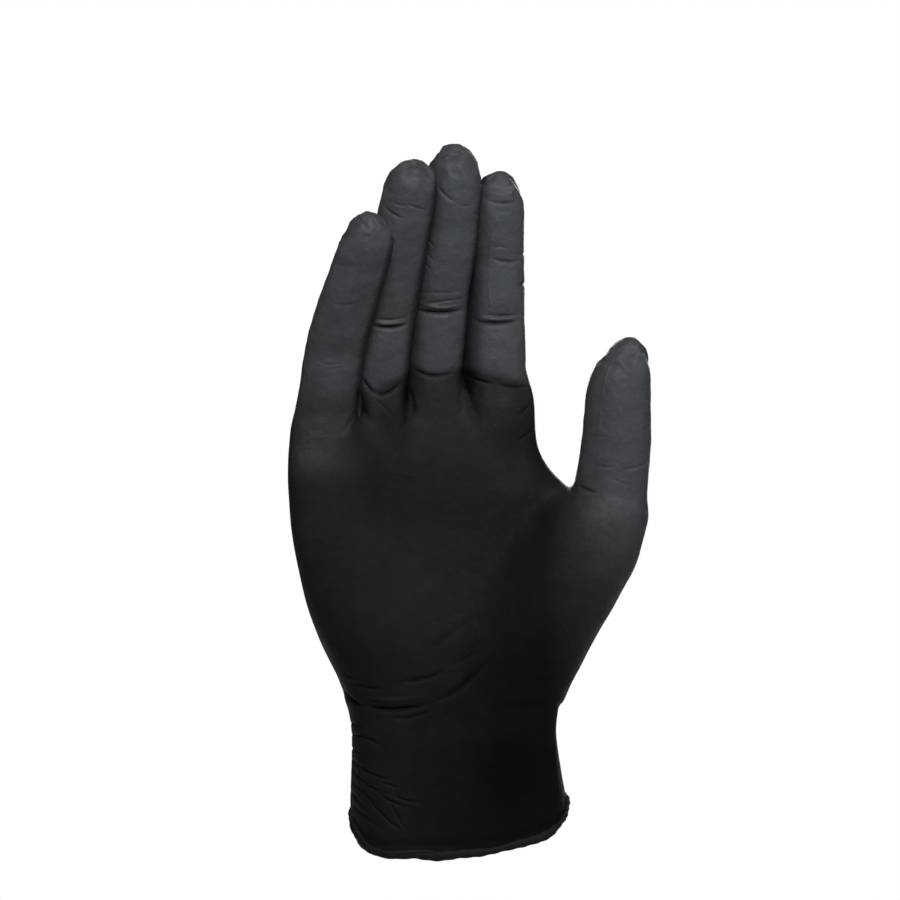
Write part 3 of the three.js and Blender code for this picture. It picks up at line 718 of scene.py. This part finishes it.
def refined(points, faces, marked):
    """Three-sided faces, split where both ends of an edge are marked, with no gaps where splitting stops."""
    edges = np.sort(np.concatenate([faces[:, [0, 1]], faces[:, [1, 2]], faces[:, [2, 0]]]), 1)
    unique, back = np.unique(edges, axis=0, return_inverse=True)
    back = back.reshape(3, -1).T
    split = marked[unique].all(1)
    number = np.full(len(unique), -1)
    number[split] = len(points) + np.arange(split.sum())
    points = np.concatenate([points, points[unique[split]].mean(1)])
    mid = number[back]
    count = (mid >= 0).sum(1)
    out = [faces[count == 0]]
    whole = count == 3
    f, m = faces[whole], mid[whole]
    quarters = [
        (f[:, 0], m[:, 0], m[:, 2]),
        (m[:, 0], f[:, 1], m[:, 1]),
        (m[:, 2], m[:, 1], f[:, 2]),
        (m[:, 0], m[:, 1], m[:, 2]),
    ]
    out += [np.stack(part, 1) for part in quarters]
    for first in range(3):
        turn = [first, (first + 1) % 3, (first + 2) % 3]
        f, m = faces[:, turn], mid[:, turn]
        one = (count == 1) & (m[:, 0] >= 0)
        halves = [(f[:, 0], m[:, 0], f[:, 2]), (m[:, 0], f[:, 1], f[:, 2])]
        out += [np.stack(part, 1)[one] for part in halves]
        two = (count == 2) & (m[:, 2] < 0)
        thirds = [halves[0], (m[:, 0], m[:, 1], f[:, 2]), (m[:, 0], f[:, 1], m[:, 1])]
        out += [np.stack(part, 1)[two] for part in thirds]
    return points, np.concatenate(out)


def near_folds(points, folds, spread):
    """The points that the folds would move if they were wider by spread."""
    x, _, z = points.T
    found = np.zeros(len(points), bool)
    for fold in folds:
        found |= np.abs(pressed(x, z, {**fold, "wide": fold["wide"] * spread, "press": 1.0})) > 0.02
    return found


def at_tips(points):
    """The ends of the fingers and thumb."""
    x, y, z = points.T
    found = np.zeros(len(points), bool)
    for finger in [*FINGERS, THUMB]:
        top = finger["rows"][-1]["at"] * REACH
        found |= (z > top - 15.0) & (finger_field(finger, x, y, z, 0.0) < 1.5)
    return found


def built(cell, grow, folds=()):
    """The film's points and faces, and the number of the finger that each point is nearest to."""
    low, x, y, z = grid(cell)
    values = film_field(x, y, z, grow)
    points, faces = film_mesh(values, low, cell)
    points = settled(points, faces, values, low, cell)
    faces = np.concatenate([faces[:, [0, 1, 2]], faces[:, [0, 2, 3]]])
    for spread in FOLD_SPREADS if folds else ():
        there, _ = closed_up(points)
        facing = normals_of(points, faces)[:, 1]
        marked = near_folds(there, folds, spread) & (facing < 0.25)
        if spread == FOLD_SPREADS[0]:
            marked |= at_tips(there)
        points, faces = refined(points, faces, marked)
        points = on_film(points, values, low, cell, 3)
    points, nearest = closed_up(points)
    points, faces, used = cut_at_cuff(points, faces)
    return points, faces, nearest[used]


def mesh_object(name, points, faces):
    mesh = bpy.data.meshes.new(name)
    mesh.vertices.add(len(points))
    mesh.vertices.foreach_set("co", (points / 1000).astype(np.float32).ravel())
    mesh.loops.add(faces.size)
    mesh.polygons.add(len(faces))
    mesh.polygons.foreach_set("loop_start", np.arange(len(faces), dtype=np.int32) * 3)
    mesh.loops.foreach_set("vertex_index", faces.astype(np.int32).ravel())
    mesh.update(calc_edges=True)
    mesh.validate()
    mesh.polygons.foreach_set("use_smooth", np.ones(len(mesh.polygons), bool))
    shown = bpy.data.objects.new(name, mesh)
    bpy.context.scene.collection.objects.link(shown)
    return shown


def curve_of(fold):
    """Points along a fold's curve, which passes through its middle."""
    a, m, c = (np.array(fold[k]) for k in ("start", "middle", "end"))
    b = 2 * m - (a + c) / 2
    t = np.linspace(0, 1, 17)[:, None]
    return (1 - t) ** 2 * a + 2 * t * (1 - t) * b + t**2 * c


def pressed(x, z, fold):
    """How far a fold presses the film in at each place, with the film raised beside it."""
    line = curve_of(fold)
    wide = fold["wide"]
    reach = 3.2 * wide
    low, high = line.min(0) - reach, line.max(0) + reach
    near = np.nonzero((x > low[0]) & (x < high[0]) & (z > low[1]) & (z < high[1]))[0]
    total = np.zeros(len(x))
    if not len(near):
        return total
    p = np.stack([x[near], z[near]], 1)
    best, along = np.full(len(near), 1e9), np.zeros(len(near))
    for i in range(len(line) - 1):
        a, d = line[i], line[i + 1] - line[i]
        t = clamp(((p - a) @ d) / (d @ d), 0.0, 1.0)
        gap = np.linalg.norm(p - a - t[:, None] * d, axis=1)
        closer = gap < best
        best = np.where(closer, gap, best)
        along = np.where(closer, (i + t) / (len(line) - 1), along)
    fade = smooth(along, -0.04, 0.4) * (1 - smooth(along, 0.6, 1.04))
    valley = 1 / (1 + (best / (0.5 * wide)) ** 2) * (1 - smooth(best, 0.4 * reach, reach))
    shoulder = np.exp(-(((best - 1.6 * wide) / wide) ** 2) * 1.8)
    total[near] = fold["press"] * fade * (valley - 0.12 * shoulder)
    return total


def waves(points, length, seed, count=7):
    """Smooth wandering between -1 and 1 with bumps of about one length."""
    rng = np.random.default_rng(seed)
    total = np.zeros(len(points))
    for _ in range(count):
        way = rng.normal(size=3)
        way *= 2 * math.pi / (length * rng.uniform(0.75, 1.5)) / np.linalg.norm(way)
        total += np.sin(points @ way + rng.uniform(0, 2 * math.pi))
    return total / math.sqrt(count) / 1.4


def folded(points, normals, kind):
    """How far the film moves out along its normal, and how deep its creases are for the tone, with painted
    shade added in the crumple's valleys at the tips and in the groove above the bead.
    """
    x, y, z = points.T
    out = np.zeros(len(points))
    creases = np.zeros(len(points))
    front = smooth(-normals[:, 1], -0.45, 0.1)
    facing = smooth(-normals[:, 1], 0.1, 0.8)
    behind = smooth(normals[:, 1], -0.1, 0.4)
    for number, table in enumerate(FINGER_FOLDS):
        mine = front * (kind == number)
        for fold in table:
            creases += mine * pressed(x, z, fold)
    palm = front * np.where(kind == PALM_KIND, 1.0, 0.5 * (kind <= LAST_FINGER) * (z < 150))
    for fold in PALM_FOLDS + WRIST_FOLDS:
        creases += (front if fold in WRIST_FOLDS else palm) * pressed(x, z, fold)
    # a soft dent on the palm side of each joint and cross folds on its back
    for number, finger in enumerate(FINGERS):
        mine = (kind == number) * 1.0
        for share, deep in zip(JOINTS[number], JOINT_DENTS):
            away = z - share * REACH
            out -= mine * facing * deep * np.exp(-((away / DENT_HEIGHT) ** 2))
            off = x - column(finger["rows"], "across", z / REACH) * PALM_WIDTH
            bend = away - CREASE_BEND * off**2
            for step in JOINT_CREASES:
                out -= mine * behind * CREASE_SHARE * deep * np.exp(-(((bend - step) / CREASE_WIDTH) ** 2))
    thumb = (kind == THUMB_KIND) * 1.0
    for share in THUMB_JOINTS:
        for step in THUMB_CREASES:
            away = z - share * REACH - step
            out -= thumb * behind * THUMB_CREASE_DEPTH * np.exp(-((away / THUMB_CREASE_WIDTH) ** 2))
    for fold in BACK_FOLDS:
        out -= behind * (kind == PALM_KIND) * pressed(x, z, fold)
    # loose film, crumpled at the fingertips
    out += 0.22 * waves(points, 26.0, 3) + 0.12 * waves(points * [1.0, 1.0, 0.45], 8.0, 5)
    out += 0.07 * waves(points, 4.5, 6) * (kind < PALM_KIND)
    crumple = np.abs(waves(points, 10.0, 11)) + 0.45 * np.abs(waves(points, 6.0, 12))
    tips = np.zeros(len(points))
    for number, finger in enumerate([*FINGERS, THUMB]):
        top = finger["rows"][-1]["at"] * REACH
        tips += (kind == number) * smooth(z, top - 17.0, top - 6.0)
    out += tips * (TIP_RISE - TIP_CRUMPLE * crumple)
    # painted shade in the valleys of the crumple at the tips
    tip_valley_shade = tips * smooth(0.3 - crumple, 0.0, 0.3)
    height = palm_height(x, y, z)
    # the groove above the bead: drawn in, and darkened with painted shade
    neck = np.exp(-(((height - NECK["z"]) / NECK["high"]) ** 2)) * (kind == PALM_KIND)
    return out - creases - NECK["deep"] * neck, creases + 0.3 * tip_valley_shade + 0.5 * neck


def kinds(points, nearest):
    """0 to 3 for a finger, 4 for the thumb and 5 for the palm and cuff."""
    x, y, z = points.T
    heel = heel_field(x, y, palm_height(x, y, z), 0.0)
    thumb = finger_field(THUMB, x, y, z, 0.0)
    fingers = np.stack([finger_field(f, x, y, z, 0.0) for f in FINGERS])
    kind = np.where(fingers.min(0) < heel, nearest, PALM_KIND)
    return np.where((thumb < heel) & (thumb < fingers.min(0)) & (z > 85), THUMB_KIND, kind)


def edge_path(count, drawn_in):
    """Points round the cuff's edge."""
    turn = np.linspace(0, 2 * math.pi, count, endpoint=False)
    wide, deep = OPENING_HALF, PALM_DEPTH / 2
    low, high = np.zeros(count), np.full(count, 1.6)
    for _ in range(30):
        mid = (low + high) / 2
        x, y = OPENING_MIDDLE + mid * wide * np.cos(turn), mid * deep * np.sin(turn)
        inside = heel_field(x, y, np.zeros(count), -drawn_in) < 0
        low, high = np.where(inside, mid, low), np.where(inside, high, mid)
    x, y = OPENING_MIDDLE + low * wide * np.cos(turn), low * deep * np.sin(turn)
    z = edge_slope(clamp((x - OPENING_MIDDLE) / wide, -1.0, 1.0), clamp(y / deep, -1.0, 1.0))
    return np.stack([x, y, z], 1), turn


def roll(path, radius, sides, closed):
    """A tube along a path with a radius at each point. closed says whether it runs back into itself."""
    count = len(path)
    ahead = np.roll(path, -1, 0) - np.roll(path, 1, 0)
    if not closed:
        ahead[0], ahead[-1] = path[1] - path[0], path[-1] - path[-2]
    ahead /= np.linalg.norm(ahead, axis=1)[:, None]
    out = np.cross(ahead, [0.0, 0.0, 1.0])
    out /= np.linalg.norm(out, axis=1)[:, None]
    up = np.cross(out, ahead)
    angle = np.linspace(0, 2 * math.pi, sides, endpoint=False)
    ring = (
        path[:, None]
        + radius[:, :, None] * np.cos(angle)[None, :, None] * out[:, None]
        + radius[:, :, None] * np.sin(angle)[None, :, None] * up[:, None]
    )
    i, j = np.meshgrid(np.arange(count if closed else count - 1), np.arange(sides), indexing="ij")
    a = i * sides + j
    b = i * sides + (j + 1) % sides
    c = (i + 1) % count * sides + (j + 1) % sides
    d = (i + 1) % count * sides + j
    return ring.reshape(-1, 3), np.stack([a, b, c, a, c, d], -1).reshape(-1, 3)


def rolled_edge():
    """The bead at the cuff, and the second strand of film that has rolled up beside it at the front left."""
    path, turn = edge_path(420, WALL / 2)
    angle = np.linspace(0, 2 * math.pi, 12, endpoint=False)
    size = BEAD_RADIUS + 0.2 * np.sin(7 * turn + 0.6) + 0.1 * np.sin(17 * turn)
    twist = 0.1 * np.sin(3 * angle[None, :] + 46 * turn[:, None])
    path[:, 2] += 0.35 * np.sin(5 * turn + 1.0) + 0.2 * np.sin(11 * turn)
    bead = roll(path, size[:, None] + twist, 12, True)
    side, turn = edge_path(420, 0.1)
    part = (turn > math.radians(188)) & (turn < math.radians(262))
    side, turn = side[part], turn[part]
    share = (turn - turn[0]) / (turn[-1] - turn[0])
    side[:, 2] += 2.4 - 1.5 * share + 0.3 * np.sin(9 * share)
    size = 0.25 + 0.75 * np.sin(math.pi * share) ** 0.6
    strand = roll(side, np.repeat(size[:, None], 8, 1), 8, False)
    return [bead, strand]


def joined(parts):
    """Several meshes' points and faces as one."""
    points, faces, base = [], [], 0
    for p, f in parts:
        points.append(p)
        faces.append(f + base)
        base += len(p)
    return np.concatenate(points), np.concatenate(faces)


def beside(points, kind):
    """From 0 to 1, how much painted shade a place on a finger gets where it turns into the groove between it
    and its neighbour.
    """
    x, _, z = points.T
    total = np.zeros(len(points))
    for number, finger in enumerate(FINGERS):
        middle, _, wide, _ = section(finger, z)
        for side in GROOVE_SHADES:
            other = number + side["other"]
            if 0 <= other < len(FINGERS):
                top = FINGERS[other]["rows"][-1]["at"] * REACH
                beyond = side["deep"] * smooth(-side["other"] * (x - middle) / wide, side["from"], 1.0)
                total = np.maximum(total, beyond * (kind == number) * smooth(top - z, 2.0, 14.0))
    return total


def shades(points, table):
    """How much paler each place is, from all rows of a table."""
    x, _, z = points.T
    return sum(row["paler"] * smooth(x, *row["x"]) * smooth(z, *row["z"]) for row in table)


def tone_of(points, kind, creases, front):
    """The film's tone, from 0 for black to 1 for the palest grey, with painted light and shade in it.
    It is pale where the film is stretched, most on the fingers and thumb, and there and on parts of the palm
    it is also painted light. It is dark in creases, partly from bunched film and partly as painted shade,
    and painted shade darkens the grooves and webs between fingers and a patch over the wrist."""
    x, _, z = points.T
    # the palm, paler on the back, with painted light on parts of the front
    palm = PALM_TONE + BACK_TONE * (1 - front) * smooth(z, 30.0, 110.0) + shades(points, PALM_PAINTED_LIGHT)
    # painted shade over the wrist
    off_wrist_shade = ((x - WRIST_SHADE["x"]) / WRIST_SHADE["wide"]) ** 2 + ((z - WRIST_SHADE["z"]) / WRIST_SHADE["high"]) ** 2
    palm *= 1 - WRIST_SHADE["darker"] * np.exp(-off_wrist_shade)
    # painted light along the little finger's side, half of it taken back near its outer edge below the
    # fingers
    flank_light = np.where(kind == PALM_KIND, smooth(-x, 24.0, 50.0), smooth(-x, 24.0, 40.0))
    rim = smooth(-x, 46.0, 54.0) * (1 - smooth(z, 125.0, 150.0))
    palm += 0.3 * flank_light * smooth(z, 85.0, 132.0) * (1 - 0.5 * rim)
    # painted light on the thumb side of the palm
    palm += shades(points, BALL_PAINTED_LIGHT)
    # paler fingers above their base creases: stretched film, partly painted light
    fingers = smooth(z, 116.0 + 0.16 * x, 152.0 + 0.16 * x)
    for number, base in enumerate(BASES):
        crease = base["z"] + base["bend"] * np.abs(x - base["x"])
        seen = smooth(z, crease - 0.4, crease + base["over"])
        fingers = np.where(kind == number, fingers + (seen - fingers) * front, fingers)
    # the thumb paler like the fingers, and paler still on its outer side as painted light
    ball = np.maximum(smooth(x, 28.0, 54.0), smooth(z, 104.0, 116.0) * (kind == THUMB_KIND))
    thumb = smooth(z, 84.0, 112.0) * (kind > LAST_FINGER) * ball * (0.68 + 0.32 * smooth(x, 44.0, 60.0))
    fingers = np.where(kind == PALM_KIND, fingers * (1 - front), fingers * (kind <= LAST_FINGER))
    total = palm + (1 - palm) * np.maximum(fingers, thumb)
    # painted shade in the webs between fingers
    for web in WEB_SHADES:
        off_web = ((x - web["x"]) / WEB_SHADE_SIZE[0]) ** 2 + ((z - web["z"]) / WEB_SHADE_SIZE[1]) ** 2
        total *= 1 - 0.9 * np.exp(-off_web)
    total *= 1 - 0.12 * smooth(z, 188.0, 215.0)
    # painted shade in the grooves between fingers
    total *= 1 - 0.8 * beside(points, kind)
    # darker in creases: partly bunched film, partly painted shade
    return clamp(total * (1 - 0.6 * smooth(creases, 0.12, 0.7)), 0.0, 1.0)


def glove_film():
    """The folded film, its inner face and its rolled edge as one piece."""
    folds = [*sum(FINGER_FOLDS, []), *PALM_FOLDS, *WRIST_FOLDS]
    points, faces, nearest = built(CELL, 0.0, folds)
    normals = normals_of(points, faces)
    kind = kinds(points, nearest)
    out, creases = folded(points, normals, kind)
    edge = smooth(palm_height(*points.T), 0.0, 4.0)
    points = points + (out * edge)[:, None] * normals
    hollow, hollow_faces, _ = built(HOLLOW_CELL, -WALL)
    tone = tone_of(points, kind, creases, smooth(-normals[:, 1], -0.45, 0.1))
    points, faces = joined([(points, faces), (hollow, hollow_faces[:, ::-1]), *rolled_edge()])
    tone = np.concatenate([tone, np.full(len(points) - len(tone), INNER_TONE)])
    film = mesh_object("glove_film", points, faces)
    film.data.attributes.new("tone", "FLOAT", "POINT").data.foreach_set("value", tone.astype(np.float32))
    return film


def node(tree, kind, **inputs):
    """A new node with its inputs set. An input's name has _ for each space."""
    made = tree.nodes.new(kind)
    for name, value in inputs.items():
        made.inputs[name.replace("_", " ")].default_value = value
    return made


def nitrile():
    """Black nitrile: matte, with a mottle where the film is stretched and a very fine grain. Its colour and
    sheen follow the tone attribute, painted light and shade included.
    """
    material = bpy.data.materials.new("nitrile_film")
    material.use_nodes = True
    tree = material.node_tree
    tree.nodes.clear()
    link = tree.links.new
    shader = tree.nodes.new("ShaderNodeBsdfPrincipled")
    end = tree.nodes.new("ShaderNodeOutputMaterial")
    place = tree.nodes.new("ShaderNodeTexCoord")
    shader.inputs["Metallic"].default_value = 0.0
    shader.inputs["IOR"].default_value = 1.5
    sheen = node(tree, "ShaderNodeMapRange", To_Min=0.01, To_Max=0.1)
    mottle = node(tree, "ShaderNodeTexNoise", Scale=130.0, Detail=8.0, Roughness=0.72)
    colour = tree.nodes.new("ShaderNodeValToRGB")
    colour.color_ramp.elements[0].position = 0.0
    colour.color_ramp.elements[0].color = (0.0017, 0.0019, 0.0021, 1)
    colour.color_ramp.elements[1].position = 1.0
    colour.color_ramp.elements[1].color = (0.029, 0.0318, 0.0346, 1)
    tone = tree.nodes.new("ShaderNodeAttribute")
    tone.attribute_name = "tone"
    spread = node(tree, "ShaderNodeMapRange", To_Min=0.45, To_Max=1.55)
    total = tree.nodes.new("ShaderNodeMath")
    total.operation = "MULTIPLY"
    dull = node(tree, "ShaderNodeTexNoise", Scale=220.0, Detail=4.0, Roughness=0.65)
    rough = node(tree, "ShaderNodeMapRange", To_Min=0.42, To_Max=0.66)
    grain = node(tree, "ShaderNodeTexNoise", Scale=2600.0, Detail=3.0, Roughness=0.6)
    crinkle = node(tree, "ShaderNodeTexNoise", Scale=420.0, Detail=4.0, Roughness=0.55)
    fine = node(tree, "ShaderNodeBump", Strength=0.3, Distance=0.0001)
    soft = node(tree, "ShaderNodeBump", Strength=0.6, Distance=0.0006)
    for texture in (mottle, dull, grain, crinkle):
        link(place.outputs["Object"], texture.inputs["Vector"])
    link(mottle.outputs["Fac"], spread.inputs["Value"])
    link(tone.outputs["Fac"], total.inputs[0])
    # the sheen grows with the tone, so painted light raises it and painted shade lowers it
    link(tone.outputs["Fac"], sheen.inputs["Value"])
    link(sheen.outputs["Result"], shader.inputs["Specular IOR Level"])
    link(spread.outputs["Result"], total.inputs[1])
    link(total.outputs["Value"], colour.inputs["Fac"])
    link(colour.outputs["Color"], shader.inputs["Base Color"])
    link(dull.outputs["Fac"], rough.inputs["Value"])
    link(rough.outputs["Result"], shader.inputs["Roughness"])
    link(crinkle.outputs["Fac"], soft.inputs["Height"])
    link(grain.outputs["Fac"], fine.inputs["Height"])
    link(soft.outputs["Normal"], fine.inputs["Normal"])
    link(fine.outputs["Normal"], shader.inputs["Normal"])
    link(shader.outputs["BSDF"], end.inputs["Surface"])
    return material


def area_light(name, place, aim, size, power, spread):
    data = bpy.data.lights.new(name, "AREA")
    data.shape = "RECTANGLE"
    data.size, data.size_y = size
    data.energy = power
    data.spread = math.radians(spread)
    light = bpy.data.objects.new(name, data)
    light.location = place
    light.rotation_mode = "QUATERNION"
    light.rotation_quaternion = (Vector((0, 0, aim)) - Vector(place)).to_track_quat("-Z", "Y")
    bpy.context.scene.collection.objects.link(light)


def studio():
    """A pale floor below the glove, a room that looks white and gives little light, and soft lights."""
    side = FLOOR_HALF
    mesh = bpy.data.meshes.new("floor")
    corners = [(-side, -side, 0), (side, -side, 0), (side, side, 0), (-side, side, 0)]
    mesh.from_pydata(corners, [], [(0, 1, 2, 3)])
    floor = bpy.data.objects.new("floor", mesh)
    floor.location = (0, 0, FLOOR_HEIGHT)
    bpy.context.scene.collection.objects.link(floor)
    pale = bpy.data.materials.new("floor_paint")
    pale.use_nodes = True
    paint = pale.node_tree.nodes["Principled BSDF"].inputs
    paint["Base Color"].default_value = (0.8, 0.8, 0.8, 1)
    paint["Roughness"].default_value = 0.8
    mesh.materials.append(pale)
    world = bpy.data.worlds.new("room")
    world.use_nodes = True
    tree = world.node_tree
    tree.nodes.clear()
    seen = node(tree, "ShaderNodeBackground", Color=(1, 1, 1, 1), Strength=1.0)
    lit = node(tree, "ShaderNodeBackground", Color=(0.95, 0.97, 1, 1), Strength=0.06)
    path = tree.nodes.new("ShaderNodeLightPath")
    mix = tree.nodes.new("ShaderNodeMixShader")
    out = tree.nodes.new("ShaderNodeOutputWorld")
    tree.links.new(path.outputs["Is Camera Ray"], mix.inputs["Fac"])
    tree.links.new(lit.outputs["Background"], mix.inputs[1])
    tree.links.new(seen.outputs["Background"], mix.inputs[2])
    tree.links.new(mix.outputs["Shader"], out.inputs["Surface"])
    bpy.context.scene.world = world
    for light in LIGHTS:
        area_light(**light)


def camera():
    """The photograph's view: level, from straight in front, through a long lens."""
    data = bpy.data.cameras.new("camera")
    data.sensor_width = SENSOR
    data.lens = SENSOR * CAMERA_AWAY / VIEW_WIDTH
    data.clip_end = 50.0
    shown = bpy.data.objects.new("camera", data)
    shown.location = (VIEW_MIDDLE[0], -CAMERA_AWAY - PALM_FRONT, VIEW_MIDDLE[1])
    shown.rotation_euler = (math.pi / 2, 0, 0)
    bpy.context.scene.collection.objects.link(shown)
    bpy.context.scene.camera = shown


bpy.context.scene.view_settings.view_transform = "Standard"
glove = glove_film()
glove.data.materials.append(nitrile())
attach(glove, "root")
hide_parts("glove")
studio()
camera()
